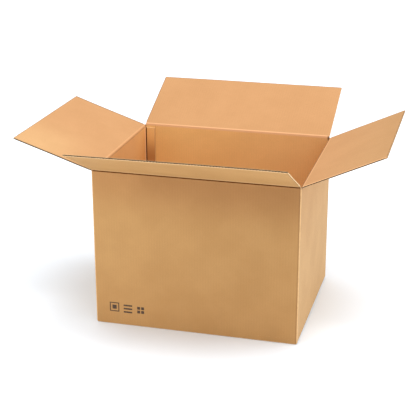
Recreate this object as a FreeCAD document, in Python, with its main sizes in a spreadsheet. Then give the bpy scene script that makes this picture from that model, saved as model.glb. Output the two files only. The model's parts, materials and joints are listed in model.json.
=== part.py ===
import FreeCAD, Part
import Sketcher
import os

# Open corrugated shipping box, regular slotted style.  One sheet of C-flute
# board makes the four walls, the glue tab and the four bottom flaps; the four
# top flaps hang on its upper creases.  Millimetres, +Z up, origin under the
# middle of the base.  Front wall at -Y, left wall at -X.

V = FreeCAD.Vector
doc = FreeCAD.newDocument("open_box")

# ---------------------------------------------------------------- dimensions
SIZES = [
    ("length", 600.0, "outside length of the front and back walls"),
    ("depth", 495.0, "outside length of the left and right walls"),
    ("board", 4.0, "board thickness"),
    ("liner", 0.3, "thickness of each flat liner"),
    ("medium", 0.25, "thickness of the wavy sheet"),
    ("pitch", 7.9, "length of one flute wave"),
    ("high_crease", 470.4, "height of the front and back flap axes"),
    ("low_crease", 466.0, "height of the left and right flap axes"),
    ("flap", 246.5, "flap length from crease to free edge"),
    ("slot_long", 3.0, "side edges of the front and back flaps, in from the outer face"),
    ("slot_short", 5.0, "side edges of the left and right flaps, in from the outer face"),
    ("axis_out", 0.3, "flap axis outside the wall's outer face"),
    ("root_gap", 1.2, "start of the flap's own board from its axis"),
    ("root_thick", 1.6, "board crushed at the flap's root"),
    ("root_ramp", 4.0, "length over which the crushed root swells"),
    ("lip", 0.5, "outer liner left standing at the wall's top"),
    ("lip_drop", 0.4, "top of that lip below the axis"),
    ("wedge_high", 2.3, "wall top below the axis beside the lip"),
    ("wedge_low", 4.2, "wall top below the axis at its inner face"),
    ("corner", 3.0, "rounding of the upright outer corners"),
    ("foot", 0.1, "underside of the board above the tape's underside"),
    ("sheet_gap", 0.3, "space between the two layers of bottom flaps"),
    ("seam_half", 1.0, "half the gap between the outer bottom flaps"),
    ("fold", 1.5, "bevel of the bottom folds"),
    ("tab_wide", 30.0, "glue tab, from the left wall's inner face"),
    ("tab_thick", 3.0, "glue tab, pressed thinner than the board"),
    ("tab_low", 14.0, "glue tab's lower corner"),
    ("tab_high", 461.0, "glue tab's upper corner"),
    ("tab_rake", 8.0, "slope of the tab's ends"),
    ("crush", 7.0, "flutes stop this far from a crease"),
    ("waves_long", 74, "flutes across a front or back panel"),
    ("waves_short", 60, "flutes across a left or right panel"),
    ("tape_long", 588.0, "tape length"),
    ("tape_wide", 48.0, "tape width"),
    ("tape_thick", 0.1, "tape thickness"),
    ("rest_front", 62.6, "front flap, outward from upright"),
    ("rest_back", 66.3, "back flap, outward from upright"),
    ("rest_left", 72.0, "left flap, outward from upright"),
    ("rest_right", 65.3, "right flap, outward from upright"),
]
sheet = doc.addObject("Spreadsheet::Sheet", "Sizes")
for row, (alias, value, words) in enumerate(SIZES, 1):
    sheet.set("A%d" % row, alias)
    sheet.set("B%d" % row, str(value))
    sheet.setAlias("B%d" % row, alias)
    sheet.set("C%d" % row, words)
doc.recompute()


class Size:
    """A length that knows its number and its expression in the sheet."""

    def __init__(self, value, text):
        self.value, self.text = float(value), text

    def _with(self, other, sign, flip=False):
        o = other if isinstance(other, Size) else Size(other, repr(float(other)))
        a, b = (o, self) if flip else (self, o)
        result = {"+": a.value + b.value, "-": a.value - b.value,
                  "*": a.value * b.value}[sign]
        return Size(result, "(%s %s %s)" % (a.text, sign, b.text))

    def __add__(self, o): return self._with(o, "+")
    def __radd__(self, o): return self._with(o, "+", True)
    def __sub__(self, o): return self._with(o, "-")
    def __rsub__(self, o): return self._with(o, "-", True)
    def __mul__(self, o): return self._with(o, "*")
    def __rmul__(self, o): return self._with(o, "*", True)
    def __neg__(self): return self * -1.0


def cell(alias):
    return Size(float(sheet.get(alias)), "Sizes." + alias)


def plain(value):
    return value if isinstance(value, Size) else Size(value, repr(float(value)))


length, depth, board = cell("length"), cell("depth"), cell("board")
liner, medium, pitch = cell("liner"), cell("medium"), cell("pitch")
high, low = cell("high_crease"), cell("low_crease")
flap, axis_out = cell("flap"), cell("axis_out")
slot_long, slot_short = cell("slot_long"), cell("slot_short")
root_gap, root_thick, root_ramp = cell("root_gap"), cell("root_thick"), cell("root_ramp")
lip, lip_drop = cell("lip"), cell("lip_drop")
wedge_high, wedge_low = cell("wedge_high"), cell("wedge_low")
corner, foot, sheet_gap = cell("corner"), cell("foot"), cell("sheet_gap")
seam_half, fold, crush = cell("seam_half"), cell("fold"), cell("crush")
half_long, half_deep = length * 0.5, depth * 0.5


# ------------------------------------------------------------------- helpers
def body(name):
    made = doc.addObject("PartDesign::Body", name)
    made.Label = name
    return made


def origin_plane(owner, role):
    return [f for f in owner.Origin.OriginFeatures if f.Role == role][0]


def sketch(owner, name, role, loops, rise=0.0):
    """Closed polygons on one origin plane, every corner held by the sheet."""
    made = owner.newObject("Sketcher::SketchObject", name)
    made.AttachmentSupport = [(origin_plane(owner, role), "")]
    made.MapMode = "FlatFace"
    rise = plain(rise)
    made.AttachmentOffset = FreeCAD.Placement(V(0, 0, rise.value), FreeCAD.Rotation())
    made.setExpression("AttachmentOffset.Base.z", rise.text)
    for loop in loops:
        loop = [(plain(a), plain(b)) for a, b in loop]
        first, count = made.GeometryCount, len(loop)
        made.addGeometry([Part.LineSegment(
            V(loop[i][0].value, loop[i][1].value, 0),
            V(loop[(i + 1) % count][0].value, loop[(i + 1) % count][1].value, 0))
            for i in range(count)], False)
        for i in range(count):
            made.addConstraint(Sketcher.Constraint(
                "Coincident", first + i, 2, first + (i + 1) % count, 1))
        for i, (a, b) in enumerate(loop):
            for kind, size in (("DistanceX", a), ("DistanceY", b)):
                if abs(size.value) < 1e-9 and size.text == "0.0":
                    made.addConstraint(Sketcher.Constraint(
                        "PointOnObject", first + i, 1, -2 if kind == "DistanceX" else -1))
                    continue
                at = made.addConstraint(Sketcher.Constraint(
                    kind, -1, 1, first + i, 1, size.value))
                made.setExpression("Constraints[%d]" % at, size.text)
    return made


def pad(owner, name, profile, size, both_ways=False, reverse=False):
    made = owner.newObject("PartDesign::Pad", name)
    made.Profile = profile
    made.SideType = "Symmetric" if both_ways else "One side"
    made.Length = plain(size).value
    made.setExpression("Length", plain(size).text)
    made.Reversed = reverse
    made.Refine = False
    owner.Tip = made
    return made


def pocket(owner, name, profile, size, both_ways=False, reverse=False):
    made = owner.newObject("PartDesign::Pocket", name)
    made.Profile = profile
    made.SideType = "Symmetric" if both_ways else "One side"
    made.Length = plain(size).value
    made.setExpression("Length", plain(size).text)
    made.Reversed = reverse
    made.Refine = False
    owner.Tip = made
    return made


# One flute: the channel between a liner and the wavy sheet, as fractions of a
# wave along the liner, the wave's cosine there, and how much the sheet's
# slope thickens it measured across the board.
WAVE = [(-0.405, -0.8271, 1.22), (-0.2, 0.309, 1.556), (0.0, 1.0, 1.0),
        (0.2, 0.309, 1.556), (0.405, -0.8271, 1.22)]


def channel(middle, face_in, face_out, outward=1):
    """Corners of one channel, closed against the liner whose inner side is
    face_out; face_in is the inner side of the other liner."""
    points = [(middle + pitch * WAVE[0][0], face_out)]
    half = (board - 2.0 * liner - medium) * 0.5
    centre = (face_in + face_out) * 0.5
    for along, cosine, slope in WAVE:
        points.append((middle + pitch * along,
                       centre - outward * (half * cosine - medium * (0.5 * slope))))
    points.append((middle + pitch * WAVE[-1][0], face_out))
    return points


def flutes(owner, name, role, rise, panels, count, size, across=False,
           both_ways=False, reverse=False):
    """Two rows of channels through each panel; a panel is its two faces."""
    start = -0.5 * pitch * (count - 1.0)
    loops = []
    for near, away in panels:
        sign = 1 if away.value > near.value else -1
        inner, outer = near + sign * liner, away - sign * liner
        loops.append(channel(start - 0.25 * pitch, inner, outer, sign))
        loops.append(channel(start + 0.25 * pitch, outer, inner, -sign))
    if across:
        loops = [[(b, a) for a, b in loop] for loop in loops]
    outline = sketch(owner, name + "_outline", role, loops, rise)
    cut = pocket(owner, name + "_cut", outline, size, both_ways, reverse)
    doc.recompute()
    row = owner.newObject("PartDesign::LinearPattern", name)
    row.Originals = [cut]
    row.Direction = (outline, ["V_Axis" if across else "H_Axis"])
    row.Length = (pitch * (count - 1.0)).value
    row.setExpression("Length", (pitch * (count - 1.0)).text)
    row.Occurrences = int(round(count.value))
    row.setExpression("Occurrences", count.text)
    row.Refine = False
    owner.Tip = row
    return row


# ------------------------------------------------- walls, tab, bottom flaps
case = body("case_body")

# the four walls: a ring with faceted round outer corners
turn = [(1.0, 0.0), (0.866, 0.5), (0.5, 0.866), (0.0, 1.0)]
outer = []
for sx, sy in ((1, -1), (1, 1), (-1, 1), (-1, -1)):
    arc = [(sx * (half_long - corner + corner * c), sy * (half_deep - corner + corner * s))
           for c, s in turn]
    outer += arc[::-1] if sx * sy < 0 else arc
inner = [(half_long - board, board - half_deep), (half_long - board, half_deep - board),
         (board - half_long, half_deep - board), (board - half_long, board - half_deep)]
ring = sketch(case, "wall_ring", "XY_Plane", [outer, inner], foot)
pad(case, "walls", ring, high - lip_drop - foot)

# the corners and the left and right walls stop lower, under the slots
lows = []
for s in (-1, 1):
    a, b = s * (half_long - slot_long), s * (half_long + 5.0)
    lows.append([(a, -half_deep - 5.0), (b, -half_deep - 5.0),
                 (b, half_deep + 5.0), (a, half_deep + 5.0)])
pocket(case, "low_sides", sketch(case, "low_side_areas", "XY_Plane", lows, low - lip_drop),
       30.0, reverse=True)

# the wall tops give way to the closed flaps behind a thin standing lip
wedges = []
for s in (-1, 1):
    wedges.append([(s * (half_deep - lip), high + 5.0), (s * (half_deep - lip), high - wedge_high),
                   (s * (half_deep - board), high - wedge_low),
                   (s * (half_deep - board - 3.0), high - wedge_low),
                   (s * (half_deep - board - 3.0), high + 5.0)])
pocket(case, "long_wall_tops", sketch(case, "long_wedges", "YZ_Plane", wedges),
       length - 2.0 * slot_long + 1.0, both_ways=True)
wedges = []
for s in (-1, 1):
    wedges.append([(s * (half_long - lip), low + 8.0), (s * (half_long - lip), low - wedge_high),
                   (s * (half_long - board), low - wedge_low),
                   (s * (half_long - board - 0.9), low - wedge_low),
                   (s * (half_long - board - 0.9), low + 8.0)])
pocket(case, "side_wall_tops", sketch(case, "side_wedges", "XZ_Plane", wedges),
       depth - 2.0 * board, both_ways=True)

# outer bottom flaps, folded from the front and back walls, meet at the seam
long_flaps, side_flaps = [], []
for s in (-1, 1):
    long_flaps.append([(board - half_long - 1.0, s * (half_deep - board + 1.0)),
                       (half_long - board + 1.0, s * (half_deep - board + 1.0)),
                       (half_long - board + 1.0, s * seam_half),
                       (board - half_long - 1.0, s * seam_half)])
    side_flaps.append([(s * (half_long - board + 1.0), slot_short - half_deep),
                       (s * (half_long - board + 1.0), half_deep - slot_short),
                       (s * (half_long - flap), half_deep - slot_short),
                       (s * (half_long - flap), slot_short - half_deep)])
pad(case, "outer_bottom_flaps", sketch(case, "outer_bottom_areas", "XY_Plane", long_flaps, foot),
    board)
# inner bottom flaps, folded from the left and right walls, lie on them
pad(case, "inner_bottom_flaps",
    sketch(case, "inner_bottom_areas", "XY_Plane", side_flaps, foot + board + sheet_gap), board)

# the left and right walls stand on the side edges of the outer bottom flaps:
# nothing of them reaches below their own folds
inner_under = foot + board + sheet_gap
feet, gaps = [], []
for s in (-1, 1):
    feet.append([(s * (half_long - slot_long), -half_deep - 5.0), (s * (half_long + 5.0), -half_deep - 5.0),
                 (s * (half_long + 5.0), half_deep + 5.0), (s * (half_long - slot_long), half_deep + 5.0)])
    gaps.append([(s * (half_long - board - 1.0), board - half_deep),
                 (s * (half_long - slot_long + 0.5), board - half_deep),
                 (s * (half_long - slot_long + 0.5), half_deep - board),
                 (s * (half_long - board - 1.0), half_deep - board)])
pocket(case, "side_wall_feet", sketch(case, "side_foot_areas", "XY_Plane", feet, inner_under), 20.0)
pocket(case, "side_wall_gaps", sketch(case, "side_gap_areas", "XY_Plane", gaps, inner_under), sheet_gap)

# the folds under the front and back walls are rounded over
bevels = []
for s in (-1, 1):
    bevels.append([(s * (half_deep - fold), foot), (s * half_deep, foot + fold),
                   (s * (half_deep + 2.0), foot + fold), (s * (half_deep + 2.0), foot - 2.0),
                   (s * (half_deep - fold), foot - 2.0)])
pocket(case, "bottom_folds", sketch(case, "bottom_bevels", "YZ_Plane", bevels),
       length + 10.0, both_ways=True)

# the glue tab runs on from the left wall, inside the back wall
tab_low, tab_high, rake = cell("tab_low"), cell("tab_high"), cell("tab_rake")
tab_end = board - half_long + cell("tab_wide")
tab = sketch(case, "tab_area", "XZ_Plane",
             [[(board - half_long - 1.0, tab_low), (tab_end, tab_low + rake),
               (tab_end, tab_high - rake), (board - half_long - 1.0, tab_high)]],
             board - half_deep - 1.0)
pad(case, "glue_tab", tab, cell("tab_thick") + 1.0)
doc.recompute()

# flutes stand upright in the walls and run on, across the fold, in the flaps,
# whose free edges show their open ends
waves_long, waves_short = cell("waves_long"), cell("waves_short")
wall_cut = high - foot - crush
flutes(case, "long_wall_flutes", "XY_Plane", high,
       [(s * half_deep, s * (half_deep - board)) for s in (-1, 1)], waves_long, wall_cut)
flutes(case, "side_wall_flutes", "XY_Plane", high,
       [(s * half_long, s * (half_long - board)) for s in (-1, 1)], waves_short - 1.0,
       wall_cut, across=True)
flutes(case, "outer_bottom_flutes", "XZ_Plane", 0.0, [(foot, foot + board)], waves_long,
       2.0 * (half_deep - crush), both_ways=True)
flutes(case, "inner_bottom_flutes", "YZ_Plane", 0.0, [(inner_under, inner_under + board)],
       waves_short, 2.0 * (half_long - board - crush), both_ways=True)

# --------------------------------------------------------------- top flaps
flap_bodies = {}
for name, span, count in (
        ("flap_front", length - 2.0 * slot_long, waves_long),
        ("flap_back", length - 2.0 * slot_long, waves_long),
        ("flap_left", depth - 2.0 * slot_short, waves_short),
        ("flap_right", depth - 2.0 * slot_short, waves_short)):
    owner = body(name)
    # section: crushed root, full board beyond it; the axis is the origin
    section = sketch(owner, name + "_section", "YZ_Plane",
                     [[(root_gap, -axis_out), (flap, -axis_out), (flap, -axis_out - board),
                       (root_gap + root_ramp, -axis_out - board),
                       (root_gap, -axis_out - root_thick)]])
    pad(owner, name + "_board", section, span, both_ways=True)
    flutes(owner, name + "_flutes", "XZ_Plane", -flap, [(-axis_out, -axis_out - board)],
           count, flap - crush - root_gap, reverse=True)
    flap_bodies[name] = owner

# ------------------------------------------------------------------- tape
tape = body("bottom_tape")
half_tape, half_strip = cell("tape_wide") * 0.5, cell("tape_long") * 0.5
strip = sketch(tape, "tape_area", "XY_Plane",
               [[(-half_strip, -half_tape), (half_strip, -half_tape),
                 (half_strip, half_tape), (-half_strip, half_tape)]])
pad(tape, "tape_film", strip, cell("tape_thick"))

# ------------------------------------------------- places of the top flaps
# each flap's own frame: X along the crease, Y away from it, Z outward when
# the flap stands upright; it tips outward about X by its rest angle
for name, yaw, x, y, z, rest in (
        ("flap_front", 0.0, "0", "-Sizes.depth / 2 - Sizes.axis_out", high, "rest_front"),
        ("flap_right", 90.0, "Sizes.length / 2 + Sizes.axis_out", "0", low, "rest_right"),
        ("flap_back", 180.0, "0", "Sizes.depth / 2 + Sizes.axis_out", high, "rest_back"),
        ("flap_left", -90.0, "-Sizes.length / 2 - Sizes.axis_out", "0", low, "rest_left")):
    owner = flap_bodies[name]
    reach_x = {"flap_right": half_long + axis_out, "flap_left": -half_long - axis_out}.get(name)
    reach_y = {"flap_front": -half_deep - axis_out, "flap_back": half_deep + axis_out}.get(name)
    owner.Placement = FreeCAD.Placement(
        V(reach_x.value if reach_x else 0.0, reach_y.value if reach_y else 0.0, z.value),
        FreeCAD.Rotation(V(0, 0, 1), yaw) * FreeCAD.Rotation(V(1, 0, 0), 90.0 + cell(rest).value))
    owner.setExpression("Placement.Base.x", x)
    owner.setExpression("Placement.Base.y", y)
    owner.setExpression("Placement.Base.z", z.text)

doc.recompute()

# ------------------------------------------------------------------ output
wrong = [o.Name for o in doc.Objects if "Invalid" in o.State or "Error" in o.State]
if wrong:
    raise SystemExit("failed objects: " + ", ".join(wrong))
pieces = [case, tape] + [flap_bodies[n] for n in sorted(flap_bodies)]
for piece in pieces:
    shape = piece.Shape
    if shape.isNull() or not shape.isValid() or len(shape.Solids) != 1:
        raise SystemExit("bad shape: " + piece.Label)
os.makedirs("parts", exist_ok=True)
for piece in pieces:
    piece.Shape.exportStep("parts/%s.step" % piece.Label)
    box = piece.Shape.BoundBox
    print("%-12s %9.1f mm3 %5d faces  X %.1f %.1f  Y %.1f %.1f  Z %.1f %.1f" % (
        piece.Label, piece.Shape.Volume, len(piece.Shape.Faces),
        box.XMin, box.XMax, box.YMin, box.YMax, box.ZMin, box.ZMax))
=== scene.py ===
import bpy
import json
import math
import numpy as np
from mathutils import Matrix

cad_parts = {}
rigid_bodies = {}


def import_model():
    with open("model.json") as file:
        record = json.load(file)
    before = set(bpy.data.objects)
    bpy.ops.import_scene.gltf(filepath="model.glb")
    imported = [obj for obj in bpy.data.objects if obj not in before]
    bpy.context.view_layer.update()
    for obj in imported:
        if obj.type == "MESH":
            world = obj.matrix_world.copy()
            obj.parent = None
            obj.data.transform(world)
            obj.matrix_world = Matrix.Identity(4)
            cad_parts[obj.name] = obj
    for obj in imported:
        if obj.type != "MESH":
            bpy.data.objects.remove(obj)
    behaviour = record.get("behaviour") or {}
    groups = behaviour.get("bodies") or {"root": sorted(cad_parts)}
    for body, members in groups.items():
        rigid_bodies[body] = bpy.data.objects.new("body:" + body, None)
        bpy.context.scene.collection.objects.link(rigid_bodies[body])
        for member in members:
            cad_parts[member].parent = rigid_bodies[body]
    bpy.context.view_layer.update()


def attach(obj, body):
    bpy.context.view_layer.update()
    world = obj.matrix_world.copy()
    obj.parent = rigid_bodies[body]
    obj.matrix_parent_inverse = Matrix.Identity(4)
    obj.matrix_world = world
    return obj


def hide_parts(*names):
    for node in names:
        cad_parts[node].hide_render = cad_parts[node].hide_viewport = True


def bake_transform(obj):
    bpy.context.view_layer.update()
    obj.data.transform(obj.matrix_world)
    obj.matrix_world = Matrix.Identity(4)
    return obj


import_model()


# ------------------------------------------------------------------ sizes, mm
HX, HY = 300.0, 247.5          # half the outside length and depth
T = 4.0                        # board
AX = 0.3                       # flap axis outside the wall's face
HI, LO = 470.4, 466.0          # flap axes: front and back, left and right
FLAP = 246.5                   # crease to free edge
TRIM = 0.45                    # the drawn top flaps stay this far inside it
XL, YL = 297.0, 242.5          # half widths of the long and the short flaps
PITCH = 7.9                    # one flute
LINER = 0.34
RING_LOW = 16.0
SEAM = 3.3                     # the flap's own piece starts this far below its axis
POST_TOP = 468.4
REST = {"front": 62.6, "back": 66.3, "left": 72.0, "right": 65.3}


# ------------------------------------------------------------- smooth noise
def _lattice(seed):
    return np.random.RandomState(seed).uniform(-1, 1, (64, 64))


def noise2(x, y, size, seed):
    """Smooth value noise of about +-1, one hill every size mm."""
    grid = _lattice(seed)
    x, y = np.asarray(x, float) / size + 17.3, np.asarray(y, float) / size + 9.1
    xi, yi = np.floor(x).astype(int), np.floor(y).astype(int)
    fx, fy = x - xi, y - yi
    fx, fy = fx * fx * (3 - 2 * fx), fy * fy * (3 - 2 * fy)
    g = lambda a, b: grid[(xi + a) % 64, (yi + b) % 64]
    return ((g(0, 0) * (1 - fx) + g(1, 0) * fx) * (1 - fy)
            + (g(0, 1) * (1 - fx) + g(1, 1) * fx) * fy)


# ------------------------------------------------------------ mesh collector
OUTER, INNER, CUT, MEDIUM, FLUTE_SHADOW, LIT = 0, 1, 2, 3, 4, 5


class Shells:
    """Closed shells in mm. Each point also carries its place in the flat
    sheet: u round the box, v along the flutes from the crease, w through the
    board from its outer face."""

    def __init__(self):
        self.co, self.flat, self.faces, self.mats, self.smooth = [], [], [], [], []
        self.count = 0

    def add(self, co, flat):
        start = self.count
        co = np.asarray(co, float).reshape(-1, 3)
        self.co.append(co)
        self.flat.append(np.asarray(flat, float).reshape(-1, 3))
        self.count += len(co)
        return start

    def face(self, quad, mat, smooth=True):
        self.faces.append(quad)
        self.mats.append(mat)
        self.smooth.append(smooth)

    def slab(self, a, b, fa, fb, mat_a, mat_b, mat_edge=CUT, turn=False):
        """Between two grids of points, a on the outer side and b on the inner,
        each (n, m, 3): a closed shell."""
        n, m = a.shape[:2]
        ia = self.add(a, fa) + np.arange(n * m).reshape(n, m)
        ib = self.add(b, fb) + np.arange(n * m).reshape(n, m)

        def quad(p, q, r, s, mat, smooth=True):
            self.face((p, s, r, q) if turn else (p, q, r, s), mat, smooth)

        for i in range(n - 1):
            for j in range(m - 1):
                quad(ia[i, j], ia[i + 1, j], ia[i + 1, j + 1], ia[i, j + 1], mat_a)
                quad(ib[i, j], ib[i, j + 1], ib[i + 1, j + 1], ib[i + 1, j], mat_b)
        for i in range(n - 1):
            quad(ia[i, 0], ib[i, 0], ib[i + 1, 0], ia[i + 1, 0], mat_edge)
            quad(ia[i, m - 1], ia[i + 1, m - 1], ib[i + 1, m - 1], ib[i, m - 1], mat_edge)
        for j in range(m - 1):
            quad(ia[0, j], ia[0, j + 1], ib[0, j + 1], ib[0, j], mat_edge)
            quad(ia[n - 1, j], ib[n - 1, j], ib[n - 1, j + 1], ia[n - 1, j + 1], mat_edge)

    def build(self, name, materials):
        mesh = bpy.data.meshes.new(name)
        co = np.vstack(self.co) * 0.001
        mesh.from_pydata(co.tolist(), [], [tuple(int(x) for x in f) for f in self.faces])
        for m in materials:
            mesh.materials.append(m)
        mesh.polygons.foreach_set("material_index", np.array(self.mats, np.int32))
        mesh.polygons.foreach_set("use_smooth", np.array(self.smooth, bool))
        att = mesh.attributes.new("flat", "FLOAT_VECTOR", "POINT")
        att.data.foreach_set("vector", (np.vstack(self.flat) * 0.001).astype(np.float32).ravel())
        mesh.update()
        mesh.set_sharp_from_angle(angle=math.radians(40))
        ob = bpy.data.objects.new(name, mesh)
        bpy.context.scene.collection.objects.link(ob)
        return ob


# -------------------------------------------------------------- surface lies
def wall_bow(side, along, z):
    """How far a wall's board stands out from its plane, mm."""
    seed = {"front": 3, "right": 5, "back": 7, "left": 11}[side]
    half = HX if side in ("front", "back") else HY
    edge = np.clip((half - np.abs(along)) / 45.0, 0, 1)
    rise = np.clip(z / 60.0, 0, 1) * np.clip((LO - 1.0 - z) / 70.0, 0, 1)
    keep = edge * edge * (3 - 2 * edge) * rise
    return keep * (-0.25 + 0.28 * noise2(along, z, 150.0, seed) + 0.10 * noise2(along, z, 52.0, seed + 1))


# each wall: outward, along (left to right seen from outside), offset in u
SIDES = {
    "left": ((-1.0, 0.0), (0.0, -1.0), 247.5, HX, HY),
    "front": ((0.0, -1.0), (1.0, 0.0), 795.0, HY, HX),
    "right": ((1.0, 0.0), (0.0, 1.0), 1342.5, HX, HY),
    "back": ((0.0, 1.0), (-1.0, 0.0), 1890.0, HY, HX),
}
AXIS_Z = {"front": HI, "back": HI, "left": LO, "right": LO}


def place(side, x, out, z):
    """World point from a wall's own numbers: x along it, out from its outer
    plane, height z."""
    o, a, _, reach, _ = SIDES[side]
    x, out, z = np.broadcast_arrays(np.asarray(x, float), out, z)
    return np.stack([a[0] * x + o[0] * (reach + out), a[1] * x + o[1] * (reach + out), z], -1)


# ---------------------------------------------------------- the four walls
def ring_path():
    """Outer and inner points of the sheet seen from above, from the end of
    the glue tab round to the back wall's cut end, with u along the sheet."""
    path = []   # (outer xy, inner xy, u, side, along)

    def add(o, i, u, side=None, along=0.0):
        path.append((np.array(o, float), np.array(i, float), u, side, along))

    back_in = HY - T
    tab = 3.0
    for x in np.linspace(-HX + T + 30.0, -HX + T + 2.0, 5):
        add((x, back_in - 0.02), (x, back_in - tab), -(x + HX))
    # fold of the tab at the back left corner
    r = 2.4
    for k, ang in enumerate(np.linspace(90, 180, 6)):
        c, s = math.cos(math.radians(ang)), math.sin(math.radians(ang))
        o = (-HX + r + r * c, back_in - 0.02 - r + r * s)
        inner = (-HX + T + 0.6 + 0.6 * c, back_in - tab - 0.6 + 0.6 * s)
        add(o, inner, k * 0.7)

    def wall(side, stops):
        for x in stops:
            p = place(side, x, 0.0, 0.0)[:2]
            q = place(side, x, -T, 0.0)[:2]
            add(p, q, SIDES[side][2] + x, side, x)

    def corner(a, b, r=3.4, ri=0.8):
        """Rounded fold from side a to side b."""
        oa, ob = np.array(SIDES[a][0]), np.array(SIDES[b][0])
        mid_o = oa * SIDES[a][3] + ob * SIDES[b][3]
        c_o = mid_o - (oa + ob) * r
        c_i = mid_o - (oa + ob) * (T + ri)
        u0 = SIDES[a][2] + SIDES[a][4]
        for k, ang in enumerate(np.linspace(0, 90, 9)[1:-1]):
            t = math.radians(ang)
            d = oa * math.cos(t) + ob * math.sin(t)
            squash = 0.35 * math.sin(2 * t)
            add(c_o + d * (r - squash), c_i + d * ri, u0 - 2.6 + 5.2 * (k + 1) / 8)

    def stops(half, slot, low_end, high_end, step=22.0):
        xs = list(np.linspace(-slot, slot, int(2 * slot / step) + 1))
        near = [-slot + 2.5, slot - 2.5, -slot + 7.0, slot - 7.0, -slot - 0.08, slot + 0.08]
        return sorted(x for x in set(np.round(xs + near + [low_end, high_end], 4))
                      if low_end - 1e-6 <= x <= high_end + 1e-6)

    wall("left", stops(HY, YL, -HY + 2.6, HY - 3.4))
    corner("left", "front")
    wall("front", stops(HX, XL, -HX + 3.4, HX - 3.4))
    corner("front", "right")
    wall("right", stops(HY, YL, -HY + 3.4, HY - 3.4))
    corner("right", "back")
    wall("back", stops(HX, XL, -HX + 3.4, HX - 0.6))
    return path


PATH = ring_path()


def top_of(side, along):
    """Height at which the ring ends: under the flap, or at the slot."""
    if side in ("front", "back") and abs(along) <= XL + 1e-6:
        return HI - SEAM
    if side in ("left", "right") and abs(along) <= YL + 1e-6:
        return LO - SEAM
    return POST_TOP


def ring_strip(shells, first, last, levels, mat_edge=CUT, to_top=False):
    """The sheet between two places of the path, at rising heights."""
    part = PATH[first:last + 1]
    more = [7.0, 4.0, 2.0, 1.0, 0.0] if to_top else []
    n, m = len(part), len(levels) + len(more)
    a, b = np.zeros((n, m, 3)), np.zeros((n, m, 3))
    fa, fb = np.zeros((n, m, 3)), np.zeros((n, m, 3))
    for i, (o, inn, u, side, along) in enumerate(part):
        z = np.array(list(levels) + [top_of(side, along) - d for d in more], float)
        bow = 0.0
        out = np.zeros(2)
        crease = (HI + LO) / 2
        if side:
            bow = wall_bow(side, along, z)
            out = np.array(SIDES[side][0])
            crease = AXIS_Z[side]
        for grid, p in ((a, o), (b, inn)):
            grid[i, :, 0] = p[0] + out[0] * bow
            grid[i, :, 1] = p[1] + out[1] * bow
            grid[i, :, 2] = z
        fa[i] = np.stack([np.full(m, u), z - crease, np.zeros(m)], -1)
        fb[i] = np.stack([np.full(m, u), z - crease, np.full(m, T)], -1)
    shells.slab(a, b, fa, fb, OUTER, INNER, mat_edge)


def path_index(side, along):
    return min((abs(p[4] - along), i) for i, p in enumerate(PATH) if p[3] == side)[1]


case = Shells()
levels = list(np.linspace(RING_LOW, 452.0, 23))
tab_last = 4
# the glue tab is a little shorter than the wall, with raked ends
tab_part = PATH[:tab_last + 2]
na, zb = len(tab_part), np.linspace(0, 1, 24)
ga, gb, gfa, gfb = (np.zeros((na, 24, 3)) for _ in range(4))
for i, (o, inn, u, side, along) in enumerate(tab_part):
    far = np.clip((o[0] + HX - T) / 30.0, 0, 1)
    z = (14.0 + 8.0 * far) + zb * ((461.2 - 1.4 * far) - (14.0 + 8.0 * far))
    for g, p in ((ga, o), (gb, inn)):
        g[i, :, 0], g[i, :, 1], g[i, :, 2] = p[0], p[1], z
    gfa[i] = np.stack([np.full(24, u), z - LO, np.zeros(24)], -1)
    gfb[i] = np.stack([np.full(24, u), z - LO, np.full(24, T)], -1)
case.slab(ga, gb, gfa, gfb, OUTER, INNER, CUT)
ring_strip(case, tab_last + 1, len(PATH) - 1, levels, to_top=True)

# the corner posts run on below the walls, between the bottom flaps
posts = [(tab_last + 1, path_index("left", -YL)),
         (path_index("left", YL), path_index("front", -XL)),
         (path_index("front", XL), path_index("right", -YL)),
         (path_index("right", YL), path_index("back", -XL)),
         (path_index("back", XL), len(PATH) - 1)]
for first, last in posts:
    ring_strip(case, first, last, [4.5, 6.0, 10.0, RING_LOW], CUT)


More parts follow.
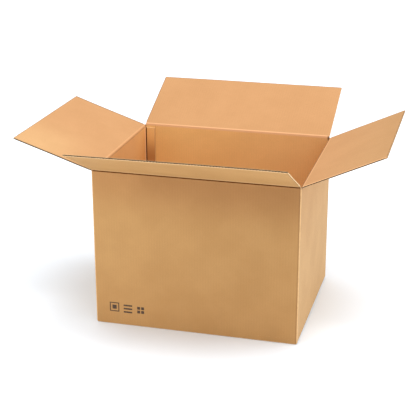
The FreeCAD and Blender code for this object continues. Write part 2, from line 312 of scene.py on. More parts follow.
# ---------------------------------------------------------------- the flaps
def board_flap(shells, side, half, stations, put, flat_v, columns, tip_seed,
               recess_from, fluted=9.0, flush=0, core=MEDIUM):
    """A flap of real board: two liners, and between them the wavy sheet, seen
    at the free edge and shadowed along the side edges.
    flush: -1 or 1 for a side where the core ends level with the liners.
    stations: rows of (outer 2D, inner 2D), from the wall to the free edge;
    put(x, point2d, row, part) gives world points."""
    xs = columns
    n, m = len(xs), len(stations)
    O, I = np.zeros((n, m, 3)), np.zeros((n, m, 3))
    for j, (po, pi) in enumerate(stations):
        O[:, j] = put(xs, po, j)
        I[:, j] = put(xs, pi, j)
    # the free edge isn't cut dead straight
    back = 0.12 + 0.12 * noise2(xs, 0 * xs, 23.0, tip_seed) + 0.10 * noise2(xs, 0 * xs, 6.0, tip_seed + 1)
    run = O[:, -1] - O[:, -2]
    run /= np.linalg.norm(run, axis=1, keepdims=True)
    O[:, -1] -= run * back[:, None]
    I[:, -1] -= run * (back[:, None] * 1.3)
    U = SIDES[side][2] + xs
    v = np.array(flat_v, float)
    fo = np.stack([np.repeat(U[:, None], m, 1), np.repeat(v[None], n, 0), np.zeros((n, m))], -1)
    fi = fo.copy()
    fi[..., 2] = T
    # the knife presses the board together along its cut edges
    side_press = np.clip((np.abs(xs) - (half - 5.0)) / 5.0, 0, 1)[:, None] ** 1.6 * np.where(v > recess_from, 1.0, 0.0)[None]
    tip_press = np.clip((v - (v[-1] - 5.0)) / 5.0, 0, 1)[None] ** 1.5 * np.ones((n, 1))
    D = I - O
    D /= np.linalg.norm(D, axis=2, keepdims=True)
    press = np.maximum(0.75 * side_press, 0.45 * tip_press)[..., None]
    O = O + D * press * 0.35
    I = I - D * press * 0.65
    D = I - O
    thick = np.linalg.norm(D, axis=2, keepdims=True)
    D = D / thick
    mo, mi = O + D * LINER, I - D * LINER
    fmo, fmi = fo.copy(), fi.copy()
    fmo[..., 2], fmi[..., 2] = LINER, T - LINER
    shells.slab(O, mo, fo, fmo, OUTER, core, CUT)
    shells.slab(mi, I, fmi, fi, core, INNER, CUT)
    # the core stops short of the free edge and, past the crease, of the sides
    stop = max(j for j in range(m) if v[j] <= v[-1] - fluted + 1e-6) + 1
    rec = np.where(v[:stop] > recess_from, 4.6, 0.0)
    scale = (half - rec) / half
    c1, c2 = np.zeros((n, stop, 3)), np.zeros((n, stop, 3))
    for j in range(stop):
        sx = xs * scale[j]
        if flush:
            sx = np.where(xs * flush > 0, xs * (half - 0.25) / half, sx)
        for k, (src, dst) in enumerate(((mo, c1), (mi, c2))):
            for axis in range(3):
                dst[:, j, axis] = np.interp(sx, xs, src[:, j, axis])
    # the core is drawn in the darkest fluting copy, painted shadow in its hidden channels
    shells.slab(c1, c2, fmo[:, :stop], fmi[:, :stop], FLUTE_SHADOW, FLUTE_SHADOW, CUT if flush else FLUTE_SHADOW)
    # the wavy sheet in the last stretch
    waves = int(2 * half / PITCH)
    span = waves * PITCH
    wx = np.linspace(-span / 2 + 0.4, span / 2 - 0.4, waves * 10 + 1)
    rows = [stop - 1] + [j for j in range(stop, m)]
    W1, W2 = np.zeros((len(wx), len(rows), 3)), np.zeros((len(wx), len(rows), 3))
    fw = np.zeros((len(wx), len(rows), 3))
    crush = 1.0 + 0.05 * noise2(wx, 0 * wx, 30.0, tip_seed + 2)
    wob = 0.35 * noise2(wx, 0 * wx, 11.0, tip_seed + 3)
    ph = 2 * np.pi * (wx + wob) / PITCH
    # pressed by handling: broad crests under the inner liner, narrow feet
    lean = np.clip(0.52 + 0.22 * noise2(wx, 0 * wx, 19.0, tip_seed + 4), 0.3, 1.0)
    form = 2 * np.clip((1 + np.cos(ph)) / 2, 1e-6, 1) ** lean - 1
    for c, j in enumerate(rows):
        lo = np.stack([np.interp(wx, xs, mo[:, j, k]) for k in range(3)], -1)
        hi = np.stack([np.interp(wx, xs, mi[:, j, k]) for k in range(3)], -1)
        if j == m - 1:
            pv = np.stack([np.interp(wx, xs, mo[:, j - 1, k]) for k in range(3)], -1)
            d = lo - pv
            d /= np.linalg.norm(d, axis=1, keepdims=True)
            lo, hi = lo - d * 0.25, hi - d * 0.25
        gap = np.linalg.norm(hi - lo, axis=1)
        t_m = 0.26 / gap
        mid = 0.5 + (0.5 - t_m / 2 + 0.004) * form * np.clip(crush, 0.9, 1.0)
        W1[:, c] = lo + (hi - lo) * (mid - t_m / 2)[:, None]
        W2[:, c] = lo + (hi - lo) * (mid + t_m / 2)[:, None]
        fw[:, c] = np.stack([SIDES[side][2] + wx, np.full(len(wx), v[j]), 4 * mid], -1)
    shells.slab(W1, W2, fw, fw, core, core, CUT)


# bends of the four top flaps at rest, mm along the flap's own normal towards
# its inner face; x is -1..1 along the crease, y 0..1 from crease to free edge
def lie(side, x, y):
    base = {
        "front": 0.6 * noise2(x * 300, y * 240, 150.0, 31),
        "back": 0.7 * noise2(x * 300, y * 240, 160.0, 33),
        "left": 0.7 * noise2(x * 240, y * 240, 150.0, 35),
        "right": 0.7 * noise2(x * 240, y * 240, 150.0, 37),
    }[side]
    return base * np.clip(y * 4, 0, 1)


def top_flap(side):
    name = "flap_" + side
    shells = Shells()
    half = XL if side in ("front", "back") else YL
    theta = math.radians(REST[side])
    axis_z = AXIS_Z[side]
    s_wall = [-SEAM, -2.6, -2.0, -1.5, -1.1, -0.7, -0.35]
    arcs = [theta * k / 8 for k in range(9)]
    end = FLAP - TRIM
    s_flap = [0.35, 0.7, 1.1, 1.5, 2.0, 2.6, 4.0, 6.0, 9.0, 14.0, 22.0, 34.0, 50.0, 70.0, 92.0, 115.0, 138.0,
              160.0, 182.0, 203.0, 220.0, end - 15.0, end - 9.0, end - 4.5, end - 1.2, end]
    rows = [(s, 0.0) for s in s_wall] + [(0.0, a) for a in arcs] + [(s, theta) for s in s_flap]
    stations, flat_v = [], []
    for s, phi in rows:
        dent = 0.55 * math.exp(-(s / 2.6) ** 2)
        valley = 0.95 * math.exp(-(s / 1.25) ** 2)
        d = np.array([math.sin(phi), math.cos(phi)])
        nrm = np.array([math.cos(phi), -math.sin(phi)])
        po = s * d - (AX + valley) * nrm
        pi = s * d - (AX + T - dent) * nrm
        stations.append((po, pi))
        flat_v.append(s + 0.35 * phi / theta if s == 0.0 else s + (0.35 if s > 0 else 0.0))
    n_in = np.array([-math.cos(theta), math.sin(theta)])

    def put(x, p, j):
        s, phi = rows[j]
        o = p[0] + AX
        z = axis_z + p[1]
        bend, short = 0.0, 0.0
        if -SEAM < s:
            x = x * (1 - 0.5 * math.exp(-((s - 1.5) / 4.5) ** 2) / half)
        if s > 0:
            y = s / FLAP
            bend = lie(side, x / half, np.full_like(x, y))
            if side == "left":
                # the back corner curls up a little
                back = ((1 - x / half) / 2) ** 2
                bend = bend + 2.8 * back * y ** 1.5
                short = 2.4 * back * y
            if side == "front":
                left = ((1 - x / half) / 2) ** 1.6
                far = ((1 + x / half) / 2) ** 2.5
                bend = bend - 4.2 * left * y ** 1.3 - 2.4 * far * y ** 1.3
                short = (2.6 * left + 1.3 * far) * y
                x = x + (2.6 + 2.2 * far) * y
        out = o + n_in[0] * bend - math.sin(phi) * short
        zz = z + n_in[1] * bend - math.cos(phi) * short
        if s <= 0 and phi == 0.0:
            out = out + wall_bow(side, x, z + 0 * x)
        return place(side, x, out, zz)

    near = [half - e for e in (0.0, 0.8, 2.2, 4.5, 9.0)]
    inside = list(np.linspace(-half + 14.0, half - 14.0, 75 if half > 260 else 61))
    xs = np.array(sorted([-x for x in near] + inside + near))
    # the right flap's fluting takes the lighter copy, painted light
    board_flap(shells, side, half, stations, put, flat_v, xs, {"front": 41, "back": 45, "left": 49, "right": 53}[side],
               recess_from=1.0, flush={"front": 1, "back": -1}.get(side, 0),
               core=LIT if side == "right" else MEDIUM)
    return shells, theta


def bottom_flap(side):
    half = XL - 0.0 if side in ("front", "back") else YL
    if side in ("front", "back"):
        # outer layer: straight under the wall
        half = XL
        outer = [(0, 16), (0, 11), (0, 7), (0, 4.6), (-0.25, 2.9), (-0.95, 1.35), (-2.1, 0.5), (-3.6, 0.14)]
        inner = [(-T, 16), (-T, 11), (-T, 7.6), (-4.05, 5.9), (-4.3, 5.0), (-4.8, 4.5), (-5.4, 4.25), (-6.2, 4.12)]
        level, reach, top = 0.12, HY - 1.0, 4.1
    else:
        outer = [(0, 16), (0, 12.5), (0, 9.5), (-0.08, 7.6), (-0.5, 6.1), (-1.4, 5.0), (-2.8, 4.5), (-4.6, 4.4)]
        inner = [(-T, 16), (-T, 13.6), (-4.05, 11.9), (-4.25, 10.8), (-4.7, 9.8), (-5.4, 9.0), (-6.4, 8.55), (-8.0, 8.42)]
        level, reach, top = 4.4, FLAP, 8.4
    far = [9.5, 13.0, 20.0, 35.0, 60.0, 90.0, 120.0, 150.0, 180.0, 205.0, reach - 18.0, reach - 9.0, reach - 1.5, reach]
    outer = outer + [(-d, level) for d in far]
    inner = inner + [(-d, top) for d in far]
    stations = [(np.array(o, float), np.array(i, float)) for o, i in zip(outer, inner)]
    v, flat_v = 16.0 - AXIS_Z[side], []
    for k, st in enumerate(stations):
        if k:
            v -= float(np.linalg.norm((st[0] + st[1]) / 2 - (stations[k - 1][0] + stations[k - 1][1]) / 2))
        flat_v.append(v)

    def put(x, p, j):
        rise = 0.0
        if j > 8:
            lift = {"front": 0.0, "back": 0.0, "left": 0.25, "right": 0.25}[side]
            rise = lift * (1 + noise2(x, 0 * x + p[0], 120.0, 61)) * min(1.0, -p[0] / 80.0)
        return place(side, x, p[0], p[1] + rise)

    near = [half - e for e in (0.0, 1.0, 4.0)]
    xs = np.array(sorted([-x for x in near] + list(np.linspace(-half + 12, half - 12, 27)) + near))
    # v falls towards the free edge here, so hand the core test a rising copy
    rising = [flat_v[0] - v for v in flat_v]
    sub = Shells()
    board_flap(sub, side, half, stations, put, rising, xs, {"front": 71, "back": 75, "left": 79, "right": 83}[side],
               recess_from=22.0)
    flat = np.vstack(sub.flat)
    flat[:, 1] = flat_v[0] - flat[:, 1]
    start = case.count
    case.add(np.vstack(sub.co), flat)
    for f, m, s in zip(sub.faces, sub.mats, sub.smooth):
        case.face(tuple(reversed([x + start for x in f])), m, s)


for side in ("front", "back", "left", "right"):
    bottom_flap(side)


# ---------------------------------------------------------------- materials
class Nodes:
    def __init__(self, name):
        self.mat = bpy.data.materials.new(name)
        self.mat.use_nodes = True
        self.tree = self.mat.node_tree
        self.tree.nodes.clear()
        self.out = self.tree.nodes.new("ShaderNodeOutputMaterial")
        self.bsdf = self.tree.nodes.new("ShaderNodeBsdfPrincipled")
        self.link(self.bsdf.outputs[0], self.out.inputs[0])

    def link(self, a, b):
        self.tree.links.new(a, b)

    def node(self, kind, **props):
        made = self.tree.nodes.new(kind)
        for k, v in props.items():
            setattr(made, k, v)
        return made

    def math(self, op, a, b=None, c=None, clamp=False):
        made = self.node("ShaderNodeMath", operation=op, use_clamp=clamp)
        for k, x in enumerate((a, b, c)):
            if x is None:
                continue
            if isinstance(x, (int, float)):
                made.inputs[k].default_value = x
            else:
                self.link(x, made.inputs[k])
        return made.outputs[0]

    def noise(self, vector, scale, detail=2.0, rough=0.5, distort=0.0):
        made = self.node("ShaderNodeTexNoise")
        self.link(vector, made.inputs["Vector"])
        made.inputs["Scale"].default_value = scale
        made.inputs["Detail"].default_value = detail
        made.inputs["Roughness"].default_value = rough
        made.inputs["Distortion"].default_value = distort
        return made.outputs[0]

    def ramp(self, value, stops):
        made = self.node("ShaderNodeValToRGB")
        made.color_ramp.interpolation = "LINEAR"
        while len(made.color_ramp.elements) < len(stops):
            made.color_ramp.elements.new(0.5)
        for e, (p, c) in zip(made.color_ramp.elements, stops):
            e.position = p
            e.color = (*c, 1.0) if len(c) == 3 else c
        self.link(value, made.inputs[0])
        return made.outputs[0]

    def range(self, value, a, b, c=0.0, d=1.0, smooth=False):
        made = self.node("ShaderNodeMapRange")
        made.interpolation_type = "SMOOTHSTEP" if smooth else "LINEAR"
        self.link(value, made.inputs[0])
        for k, x in zip((1, 2, 3, 4), (a, b, c, d)):
            made.inputs[k].default_value = x
        return made.outputs[0]

    def mix(self, factor, a, b, blend="MIX"):
        made = self.node("ShaderNodeMix", data_type="RGBA", blend_type=blend)
        for k, x in ((0, factor), (6, a), (7, b)):
            if isinstance(x, (int, float)):
                made.inputs[k].default_value = x
            elif isinstance(x, tuple):
                made.inputs[k].default_value = (*x, 1.0)
            else:
                self.link(x, made.inputs[k])
        return made.outputs[2]


def sheet_coords(n, stretch=None):
    at = n.node("ShaderNodeAttribute", attribute_name="flat")
    vec = at.outputs["Vector"]
    if stretch:
        m = n.node("ShaderNodeVectorMath", operation="MULTIPLY")
        n.link(vec, m.inputs[0])
        m.inputs[1].default_value = stretch
        return m.outputs[0]
    return vec


def kraft(name, base, light, dark, fleck, wash=0.018, rough=0.82, outer=True):
    """Kraft liner: cloudy colour, fibres along the paper's run, dark and pale
    flecks, faint flute ribs, scored creases darkened with painted shade,
    corner folds with painted highlight and shade, and panels tinted with
    painted light and shade."""
    n = Nodes(name)
    vec = sheet_coords(n)
    split = n.node("ShaderNodeSeparateXYZ")
    n.link(vec, split.inputs[0])
    u, v = split.outputs[0], split.outputs[1]

    def gain(colour, factor):
        g = n.node("ShaderNodeCombineXYZ")
        for k in range(3):
            n.link(factor, g.inputs[k])
        return n.mix(1.0, colour, g.outputs[0], "MULTIPLY")

    def near(value, centre, half, soft):
        """1 within half of centre, falling to 0 over soft, in metres."""
        gap = n.math("ABSOLUTE", n.math("SUBTRACT", value, centre))
        return n.range(gap, half, half + soft, 1.0, 0.0, True)

    cloud = n.noise(vec, 9.0, 3.0, 0.55)
    patch = n.noise(vec, 38.0, 3.0, 0.6)
    fibre = n.noise(sheet_coords(n, (1.0, 4.5, 1.0)), 700.0, 3.0, 0.65)
    long_fibre = n.noise(sheet_coords(n, (1.0, 9.0, 1.0)), 160.0, 4.0, 0.7, 0.4)
    colour = n.mix(n.range(cloud, 0.32, 0.70, 0.0, 1.0, True), dark, light)
    colour = n.mix(n.math("MULTIPLY", n.range(patch, 0.35, 0.68), 0.35), colour, base)
    colour = n.mix(0.55, colour, base)
    if outer:
        # painted shade: the front panel's strip of paper, wall and flap, is a little warmer and deeper in colour, for
        # the side turned from the light
        strip = n.math("MULTIPLY", n.range(u, 0.4935, 0.4965), n.range(u, 1.0965, 1.0935))
        colour = n.mix(strip, colour, FRONT_SHADE_TINT, "MULTIPLY")
        # painted shade: its wall darkens towards the right
        front_shade_right = n.math("MULTIPLY", n.math("MULTIPLY", strip, n.range(u, 0.58, 1.09)), n.range(v, -0.001, -0.010))
        colour = n.mix(front_shade_right, colour, (0.875, 0.860, 0.850), "MULTIPLY")
        # painted shadow of the front flap on the upper front wall, from left of its middle to the right
        under = n.math("MULTIPLY", n.math("MULTIPLY", strip, n.range(u, 0.555, 0.68, 0.0, 1.0, True)),
                       n.math("MULTIPLY", n.range(v, -0.17, -0.004, 0.0, 1.0, True), n.range(v, 0.0005, -0.001)))
        colour = n.mix(under, colour, (0.875, 0.855, 0.840), "MULTIPLY")
        # painted shade under the right flap, on the upper right wall
        side = n.math("MULTIPLY", n.math("MULTIPLY", n.range(u, 1.0965, 1.0995), n.range(u, 1.5915, 1.5885)),
                      n.math("MULTIPLY", n.range(v, -0.26, -0.02), n.range(v, 0.0005, -0.001)))
        colour = n.mix(side, colour, (0.935, 0.890, 0.870), "MULTIPLY")
        # painted shade: redder just under the flap
        shade_under_flap = n.math("MULTIPLY", strip, n.math("MULTIPLY", n.range(v, -0.15, -0.02, 0.0, 1.0, True), n.range(v, 0.0005, -0.001)))
        colour = n.mix(shade_under_flap, colour, (0.945, 0.885, 0.885), "MULTIPLY")
        # painted shade: the front panel darker towards its base
        shade_towards_base = n.math("MULTIPLY", strip, n.range(v, -0.20, -0.46, 0.0, 1.0, True))
        colour = n.mix(shade_towards_base, colour, (0.955, 0.925, 0.900), "MULTIPLY")
    # fibres
    shade = n.range(fibre, 0.3, 0.72, 0.91, 1.075)
    shade2 = n.range(long_fibre, 0.34, 0.68, 0.955, 1.04)
    colour = gain(colour, n.math("MULTIPLY", shade, shade2))
    # flute ribs
    wave = n.math("SINE", n.math("MULTIPLY", u, 2 * math.pi / (PITCH * 0.001)))
    ribs = n.math("MULTIPLY", n.math("MULTIPLY", wave, wash),
                  n.range(n.noise(vec, 14.0, 2.0), 0.35, 0.65, 0.35, 1.0))
    colour = gain(colour, n.math("ADD", ribs, 1.0))
    # flecks
    speck = n.noise(sheet_coords(n, (1.0, 1.8, 1.0)), 1500.0, 1.0, 0.5)
    colour = n.mix(n.math("MULTIPLY", n.range(speck, 0.70, 0.78), 0.5), colour, fleck)
    pale = n.noise(sheet_coords(n, (1.1, 2.4, 0.9)), 900.0, 1.0, 0.5)
    colour = n.mix(n.math("MULTIPLY", n.range(pale, 0.72, 0.80), 0.35), colour,
                   tuple(min(1.0, c * 1.4) for c in light))
    wear = n.noise(vec, 90.0, 3.0, 0.6)
    broken = n.range(wear, 0.30, 0.55, 0.45, 1.0)
    firm = n.range(wear, 0.30, 0.60, 0.80, 1.0)
    pale_line = tuple(min(1.0, c * 1.32 + 0.02) for c in light)
    if outer:
        # the flap's score: a dark line, partly the pressed score and partly painted shade in the crease valley, and a
        # pale band above it
        colour = n.mix(n.math("MULTIPLY", near(v, 0.0090, 0.0065, 0.0040), 0.24), colour, pale_line)
        colour = n.mix(n.math("MULTIPLY", near(v, 0.2425, 0.0040, 0.0040), n.math("MULTIPLY", firm, 0.80)),
                       colour, pale_line)
        colour = n.mix(n.math("MULTIPLY", near(v, -0.0006, 0.0018, 0.0009), n.math("MULTIPLY", firm, 0.99)),
                       colour, (0.105, 0.026, 0.003))
        # painted highlight on one side of each outer corner fold, painted shade on the other
        for fold in (0.495, 1.095, 1.590):
            colour = n.mix(n.math("MULTIPLY", near(u, fold + 0.0008, 0.0018, 0.0012),
                                  n.math("MULTIPLY", broken, 0.66)), colour, pale_line)
            colour = n.mix(n.math("MULTIPLY", near(u, fold - 0.0044, 0.0009, 0.0012),
                                  n.math("MULTIPLY", firm, 0.40)), colour, (0.20, 0.10, 0.04))
        # a pale broken line along the bottom fold
        colour = n.mix(n.math("MULTIPLY", near(v, -0.4685, 0.0012, 0.0018), n.math("MULTIPLY", broken, 0.5)),
                       colour, pale_line)
        # darker in noisy smears towards the bottom of the walls
        low = n.range(v, -0.36, -0.47, 0.0, 1.0, True)
        smear = n.range(n.noise(sheet_coords(n, (1.0, 0.5, 1.0)), 26.0, 4.0, 0.65), 0.5, 0.78)
        colour = n.mix(n.math("MULTIPLY", n.math("MULTIPLY", low, smear), 0.22), colour,
                       tuple(c * 0.62 for c in dark))
    else:
        # painted highlight along the inner creases
        colour = n.mix(n.math("MULTIPLY", near(v, 0.0004, 0.0012, 0.0012), 0.34), colour, pale_line)
        # painted shade just below the inner creases, left off the back wall
        sides = n.range(u, 1.5915, 1.5895)
        colour = n.mix(n.math("MULTIPLY", near(v, -0.0034, 0.0006, 0.0014),
                              n.math("MULTIPLY", n.math("MULTIPLY", broken, sides), 0.45)),
                       colour, (0.22, 0.10, 0.035))
        # painted light: the walls' inside is lighter than the flaps
        inside = n.range(v, -0.001, -0.005)
        colour = n.mix(inside, colour, WALL_LIGHT_TINT, "MULTIPLY")
        # painted highlight and painted shade on either side of the inside corner folds
        for fold in (0.495, 1.095, 1.590):
            colour = n.mix(n.math("MULTIPLY", n.math("MULTIPLY", near(u, fold + 0.0045, 0.0004, 0.0012), inside), 0.35),
                           colour, pale_line)
            colour = n.mix(n.math("MULTIPLY", n.math("MULTIPLY", near(u, fold - 0.0045, 0.0006, 0.0016), inside), 0.55),
                           colour, (0.16, 0.07, 0.025))
        # painted highlight: a pale strip on the left wall beside the back left corner
        colour = n.mix(n.math("MULTIPLY", n.math("MULTIPLY", near(u, 0.0115, 0.0060, 0.0020), inside), 0.85),
                       colour, (0.95, 0.60, 0.34))
        # painted highlight along the back flap's fold
        colour = n.mix(n.math("MULTIPLY", near(v, -0.0010, 0.0026, 0.0010), n.range(u, 1.5905, 1.5925, 0.0, 0.55)),
                       colour, (0.80, 0.46, 0.25))
        # painted shade along the right flap's fold with a pale line just past it, and painted shadow at the bottoms of
        # the slots
        right = n.math("MULTIPLY", n.range(u, 1.0955, 1.0965), n.range(u, 1.5895, 1.5885))
        colour = n.mix(n.math("MULTIPLY", n.math("MULTIPLY", near(v, 0.0003, 0.0018, 0.0008), right), 0.80),
                       colour, (0.22, 0.090, 0.028))
        colour = n.mix(n.math("MULTIPLY", n.math("MULTIPLY", near(v, 0.0050, 0.0014, 0.0012), right), 0.45),
                       colour, pale_line)
        slot_shadow_band = n.math("MULTIPLY", n.range(v, -0.0135, -0.0075), n.range(v, 0.0012, -0.0008))
        for fold in (0.495, 1.095, 1.590):
            slot_shadow = n.math("MULTIPLY", near(u, fold + 0.0050, 0.0030, 0.0015), slot_shadow_band)
            colour = n.mix(n.math("MULTIPLY", slot_shadow, 0.85), colour, (0.055, 0.020, 0.007))
        # painted shade: the right flap a little darker outwards
        right_flap_shade = n.math("MULTIPLY", right, n.range(v, 0.03, 0.22))
        colour = n.mix(right_flap_shade, colour, (0.900, 0.935, 0.905), "MULTIPLY")
        # painted light and shade on the walls' inside: left wall darker, lighter near its back corner; back wall
        # lighter leftwards
        walls = n.math("MULTIPLY", inside, n.range(v, -0.462, -0.440))
        left = n.math("MULTIPLY", n.math("MULTIPLY", n.range(u, -0.0005, 0.0005), n.range(u, 0.4955, 0.4945)), walls)
        colour = n.mix(left, colour, (0.87, 0.80, 0.77), "MULTIPLY")
        colour = n.mix(n.math("MULTIPLY", left, n.range(u, 0.14, 0.02)), colour, (1.16, 1.18, 1.08), "MULTIPLY")
        # painted shade in the back wall's right corner, stronger lower down
        back_corner_shade = n.math("MULTIPLY", n.math("MULTIPLY", n.range(u, 1.668, 1.594, 0.0, 1.0, True), n.range(u, 1.5895, 1.5905)),
                      n.math("MULTIPLY", n.range(v, -0.004, -0.13, 0.15, 1.0), walls))
        colour = n.mix(back_corner_shade, colour, (0.90, 0.80, 0.72), "MULTIPLY")
        # painted light: the left flap lighter towards its front and its free end
        lit = n.math("MULTIPLY", n.math("MULTIPLY", n.range(u, 0.22, 0.47, 0.0, 1.0, True), n.range(u, 0.4955, 0.4945)),
                     n.range(v, 0.02, 0.16, 0.0, 1.0, True))
        colour = n.mix(lit, colour, (1.13, 1.24, 1.28), "MULTIPLY")
        back = n.math("MULTIPLY", n.range(u, 1.66, 2.08), walls)
        colour = n.mix(back, colour, (1.11, 1.16, 1.08), "MULTIPLY")
        # the glue tab: painted light as on the back wall, darker lower down, a dark line at its far end, its cut edge
        # pale
        colour = n.mix(n.range(u, -0.0006, -0.0016), colour, (1.11, 1.16, 1.08), "MULTIPLY")
        tab = n.math("MULTIPLY", n.range(u, -0.0006, -0.0016), n.range(v, -0.020, -0.105, 0.0, 1.12, True))
        colour = n.mix(n.math("MULTIPLY", tab, 0.66), colour, (0.36, 0.145, 0.045))
        colour = n.mix(n.math("MULTIPLY", n.range(u, -0.0318, -0.0328), 0.35), colour, (0.34, 0.145, 0.05))
        # painted shadow in the corner fold beside the tab
        colour = n.mix(n.math("MULTIPLY", near(u, -0.0028, 0.0044, 0.0006), 0.98), colour, (0.040, 0.012, 0.003))
        # painted shadow beside the tab's far edge, on the back wall
        colour = n.mix(n.math("MULTIPLY", n.math("MULTIPLY", near(u, 2.1545, 0.0006, 0.0010), inside), 0.28),
                       colour, (0.25, 0.10, 0.03))
        # darker broken borders along the flaps' edges
        on_flap = n.range(v, 0.003, 0.006)
        border = near(v, 0.2464, 0.0013, 0.0009)
        for edge in (0.4898, 0.4982, 1.0918, 1.5848, 2.1868):
            border = n.math("MAXIMUM", border, near(u, edge, 0.0013, 0.0009))
        # the left and right flaps' far edges get a wider dark border, the right flap's near edge a pale stripe
        border = n.math("MAXIMUM", border, n.math("MAXIMUM", near(u, 0.0075, 0.0030, 0.0012),
                                                 n.math("MULTIPLY", near(u, 1.5828, 0.0026, 0.0012), 0.9)))
        colour = n.mix(n.math("MULTIPLY", n.math("MULTIPLY", border, on_flap), n.math("MULTIPLY", broken, 0.80)),
                       colour, (0.20, 0.095, 0.035))
        colour = n.mix(n.math("MULTIPLY", n.math("MULTIPLY", near(u, 1.1012, 0.0026, 0.0012), on_flap),
                              n.math("MULTIPLY", firm, 0.80)), colour, pale_line)
    n.link(colour, n.bsdf.inputs["Base Color"])
    n.bsdf.inputs["Roughness"].default_value = rough
    n.bsdf.inputs["Specular IOR Level"].default_value = 0.12
    # relief: washboard and fibre tooth
    height = n.math("ADD", n.math("MULTIPLY", wave, 0.4),
                    n.math("ADD", n.math("MULTIPLY", fibre, 0.9), n.math("MULTIPLY", patch, 0.6)))
    bump = n.node("ShaderNodeBump")
    bump.inputs["Strength"].default_value = 0.5
    bump.inputs["Distance"].default_value = 0.00005
    n.link(height, bump.inputs["Height"])
    n.link(bump.outputs[0], n.bsdf.inputs["Normal"])
    return n.mat


def raw_edge(name, colour, rough=0.9, dark=0.6):
    n = Nodes(name)
    vec = sheet_coords(n)
    fuzz = n.noise(vec, 1800.0, 3.0, 0.7)
    cloud = n.noise(vec, 60.0, 2.0)
    c = n.mix(n.range(fuzz, 0.3, 0.7), tuple(x * dark for x in colour), colour)
    c = n.mix(n.math("MULTIPLY", n.range(cloud, 0.35, 0.65), 0.3), c, tuple(min(1, x * 1.25) for x in colour))
    n.link(c, n.bsdf.inputs["Base Color"])
    n.bsdf.inputs["Roughness"].default_value = rough
    n.bsdf.inputs["Specular IOR Level"].default_value = 0.0
    bump = n.node("ShaderNodeBump")
    bump.inputs["Strength"].default_value = 0.6
    bump.inputs["Distance"].default_value = 0.0001
    n.link(fuzz, bump.inputs["Height"])
    n.link(bump.outputs[0], n.bsdf.inputs["Normal"])
    return n.mat


FRONT_SHADE_TINT = (0.955, 0.86, 0.69)
WALL_LIGHT_TINT = (1.40, 1.51, 1.38)
OUT_BASE = (0.548, 0.337, 0.163)
IN_BASE = (0.525, 0.278, 0.124)
kraft_out = kraft("kraft_outer", OUT_BASE, (0.600, 0.377, 0.182), (0.506, 0.304, 0.138), (0.20, 0.10, 0.04))
kraft_in = kraft("kraft_inner", IN_BASE, (0.557, 0.298, 0.134), (0.493, 0.257, 0.110), (0.22, 0.11, 0.045),
                 outer=False)
cut_edge = raw_edge("board_cut_edge", (0.84, 0.60, 0.35), dark=0.80)
# painted shade and light: the fluting is drawn dark for its shadowed flutes, darker still for the hidden core, lighter
# for the right flap
medium_mat = raw_edge("fluting_medium", (0.15, 0.068, 0.022), dark=0.72)
deep_mat = raw_edge("fluting_in_shadow", (0.085, 0.032, 0.009), dark=0.6)
lit_mat = raw_edge("fluting_in_light", (0.58, 0.34, 0.15), dark=0.75)
BOARD = [kraft_out, kraft_in, cut_edge, medium_mat, deep_mat, lit_mat]

# ------------------------------------------------------------------- pieces
case_piece = case.build("case_sheet", BOARD)
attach(case_piece, "case")
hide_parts("case_body")

for side in ("front", "back", "left", "right"):
    shells, theta = top_flap(side)
    piece = shells.build(side + "_flap_board", BOARD)
    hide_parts("flap_" + side)
    axis = place(side, 0.0, AX, AXIS_Z[side]).reshape(3)
    o = np.array([*SIDES[side][0], 0.0])
    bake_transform(piece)


# --------------------------------------------------------------------- tape
def tape():
    sh = Shells()
    xs, ys = np.linspace(-294, 294, 99), np.linspace(-24, 24, 13)
    X, Y = np.meshgrid(xs, ys, indexing="ij")
    low = 0.012 + 0.012 * (1 + noise2(X, Y, 9.0, 91)) * (np.abs(Y) < 23)
    top = low + 0.07
    zig = 0.5 * np.where(np.arange(len(ys)) % 2, 1.0, -1.0)
    X = X.copy()
    X[0] += zig + 0.5
    X[-1] += zig - 0.5
    a, b = np.stack([X, Y, low], -1), np.stack([X, Y, top], -1)
    sh.slab(b, a, b, a, 0, 0, 0)
    n = Nodes("packing_tape")
    geo = n.node("ShaderNodeAttribute", attribute_name="flat").outputs["Vector"]
    stretch = n.node("ShaderNodeVectorMath", operation="MULTIPLY")
    n.link(geo, stretch.inputs[0])
    stretch.inputs[1].default_value = (1.0, 8.0, 1.0)
    streak = n.noise(stretch.outputs[0], 30.0, 4.0, 0.6)
    blot = n.noise(geo, 220.0, 2.0, 0.5)
    c = n.mix(n.range(streak, 0.35, 0.65), (0.40, 0.235, 0.10), (0.50, 0.31, 0.145))
    c = n.mix(n.math("MULTIPLY", n.range(blot, 0.62, 0.72), 0.5), c, (0.62, 0.42, 0.23))
    n.link(c, n.bsdf.inputs["Base Color"])
    n.link(n.range(blot, 0.4, 0.7, 0.16, 0.34), n.bsdf.inputs["Roughness"])
    n.bsdf.inputs["Specular IOR Level"].default_value = 0.5
    bump = n.node("ShaderNodeBump")
    bump.inputs["Strength"].default_value = 0.4
    bump.inputs["Distance"].default_value = 0.0001
    n.link(streak, bump.inputs["Height"])
    n.link(bump.outputs[0], n.bsdf.inputs["Normal"])
    ob = sh.build("base_tape", [n.mat])
    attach(ob, "case")
    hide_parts("bottom_tape")
    return ob


tape()


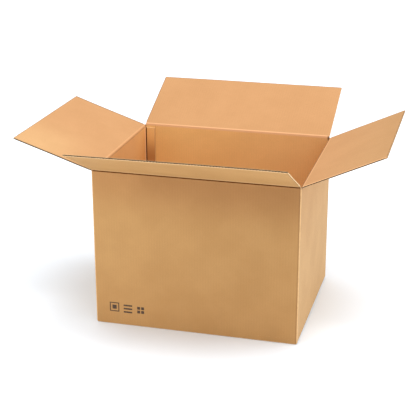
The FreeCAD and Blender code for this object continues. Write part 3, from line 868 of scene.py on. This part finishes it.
# ------------------------------------------------------------ printed marks
def marks():
    """Plain press patches in brown ink at the front wall's lower left: a
    square in a square frame, three even bars, and four small squares."""
    sh = Shells()

    def patch(x0, z0, x1, z1):
        nx, nz = max(2, int(abs(x1 - x0) / 6) + 2), max(2, int(abs(z1 - z0) / 6) + 2)
        X, Z = np.meshgrid(np.linspace(x0, x1, nx), np.linspace(z0, z1, nz), indexing="ij")
        bow = wall_bow("front", X, Z)
        a = place("front", X, bow + 0.035, Z)
        b = place("front", X, bow - 0.05, Z)
        f = np.stack([X, Z, 0 * X], -1)
        sh.slab(a, b, f, f, 0, 0, 0)

    def frame_box(cx, cz, w, h, line):
        patch(cx - w / 2, cz - h / 2, cx + w / 2, cz - h / 2 + line)
        patch(cx - w / 2, cz + h / 2 - line, cx + w / 2, cz + h / 2)
        patch(cx - w / 2, cz - h / 2 + line, cx - w / 2 + line, cz + h / 2 - line)
        patch(cx + w / 2 - line, cz - h / 2 + line, cx + w / 2, cz + h / 2 - line)

    cx, cz = MARK_AT[0]
    frame_box(cx, cz, 29, 29, 3.0)
    patch(cx - 6.5, cz - 6.5, cx + 6.5, cz + 6.5)
    cx, cz = MARK_AT[1]
    for k in range(3):
        patch(cx - 13, cz - 13 + 10.5 * k, cx + 13, cz - 8 + 10.5 * k)
    cx, cz = MARK_AT[2]
    for k in (0, 1):
        for j in (0, 1):
            patch(cx - 10.5 + 12 * k, cz - 10.5 + 12 * j, cx - 1.5 + 12 * k, cz - 1.5 + 12 * j)
    n = Nodes("brown_ink")
    vec = n.node("ShaderNodeAttribute", attribute_name="flat").outputs["Vector"]
    starve = n.noise(vec, 900.0, 3.0, 0.7)
    c = n.mix(n.range(starve, 0.52, 0.72), (0.050, 0.024, 0.012), (0.26, 0.15, 0.07))
    n.link(c, n.bsdf.inputs["Base Color"])
    n.bsdf.inputs["Roughness"].default_value = 0.7
    ob = sh.build("press_marks", [n.mat])
    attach(ob, "case")


MARK_AT = [(-243.0, 55.0), (-202.0, 52.5), (-163.0, 52.5)]
marks()


# ------------------------------------------------------------ stage, lights
def floor():
    mesh = bpy.data.meshes.new("floor")
    s = 14.0
    mesh.from_pydata([(-s, -s, 0), (s, -s, 0), (s, s, 0), (-s, s, 0)], [], [(0, 1, 2, 3)])
    ob = bpy.data.objects.new("floor", mesh)
    bpy.context.scene.collection.objects.link(ob)
    n = Nodes("white_floor")
    n.bsdf.inputs["Base Color"].default_value = (0.86, 0.92, 0.985, 1)
    n.bsdf.inputs["Roughness"].default_value = 0.95
    n.bsdf.inputs["Specular IOR Level"].default_value = 0.1
    mesh.materials.append(n.mat)


floor()
scene = bpy.context.scene
scene.view_settings.view_transform = "Standard"
scene.view_settings.look = "None"
scene.view_settings.exposure = 0.0
scene.view_settings.gamma = 1.0

world = bpy.data.worlds.new("soft_box")
scene.world = world
world.use_nodes = True
back = world.node_tree.nodes["Background"]
back.inputs[0].default_value = (1.0, 1.0, 1.0, 1)
back.inputs[1].default_value = 1.0


def area(name, at, aim, size, power, colour=(1, 1, 1)):
    data = bpy.data.lights.new(name, "AREA")
    data.shape = "RECTANGLE"
    data.size, data.size_y = size
    data.energy = power
    data.color = colour
    ob = bpy.data.objects.new(name, data)
    scene.collection.objects.link(ob)
    from mathutils import Vector
    at, aim = Vector(at), Vector(aim)
    ob.location = at
    ob.rotation_euler = (aim - at).to_track_quat("-Z", "Y").to_euler()
    return ob


def sun(name, towards, strength, angle, colour=(1, 1, 1)):
    """A broad parallel light shining from the direction towards."""
    from mathutils import Vector
    data = bpy.data.lights.new(name, "SUN")
    data.energy = strength
    data.angle = math.radians(angle)
    data.color = colour
    ob = bpy.data.objects.new(name, data)
    scene.collection.objects.link(ob)
    ob.rotation_euler = (-Vector(towards)).to_track_quat("-Z", "Y").to_euler()
    return ob


sun("overhead_softbox", (0.14, -0.12, 0.98), 1.30, 42.0)
area("side_softbox", (3.2, 0.9, 1.45), (0.3, 0.1, 0.3), (1.8, 1.2), 28.0)
area("left_fill", (-1.9, -2.5, 0.60), (-0.25, -0.25, 0.25), (1.2, 0.8), 11.0)
area("inside_softbox", (0.25, -0.75, 2.3), (0, 0.24, 0.30), (0.5, 0.3), 6.0)
for light in scene.collection.objects:
    if light.type == "LIGHT":
        light.visible_camera = False

# ------------------------------------------------------------------- camera
AZ, EL, ROLL = math.radians(14.801), math.radians(20.178), math.radians(-0.036)
FOCAL, DIST = 1121.477, 3.371198
TARGET = np.array([-0.01949, 0.0, 0.289098])
fwd = np.array([-math.sin(AZ) * math.cos(EL), math.cos(AZ) * math.cos(EL), -math.sin(EL)])
right = np.array([math.cos(AZ), math.sin(AZ), 0.0])
up = np.cross(right, fwd)
right, up = (math.cos(ROLL) * right + math.sin(ROLL) * up,
             -math.sin(ROLL) * right + math.cos(ROLL) * up)
from mathutils import Matrix
cam_data = bpy.data.cameras.new("camera")
cam_data.sensor_width = 36.0
cam_data.sensor_fit = "HORIZONTAL"
cam_data.lens = FOCAL / 420.0 * 36.0
cam_data.clip_end = 60.0
cam = bpy.data.objects.new("camera", cam_data)
at = TARGET - fwd * DIST
rot = np.array([right, up, -fwd]).T
cam.matrix_world = Matrix([[*rot[0], at[0]], [*rot[1], at[1]], [*rot[2], at[2]], [0, 0, 0, 1]])
scene.collection.objects.link(cam)
scene.camera = cam
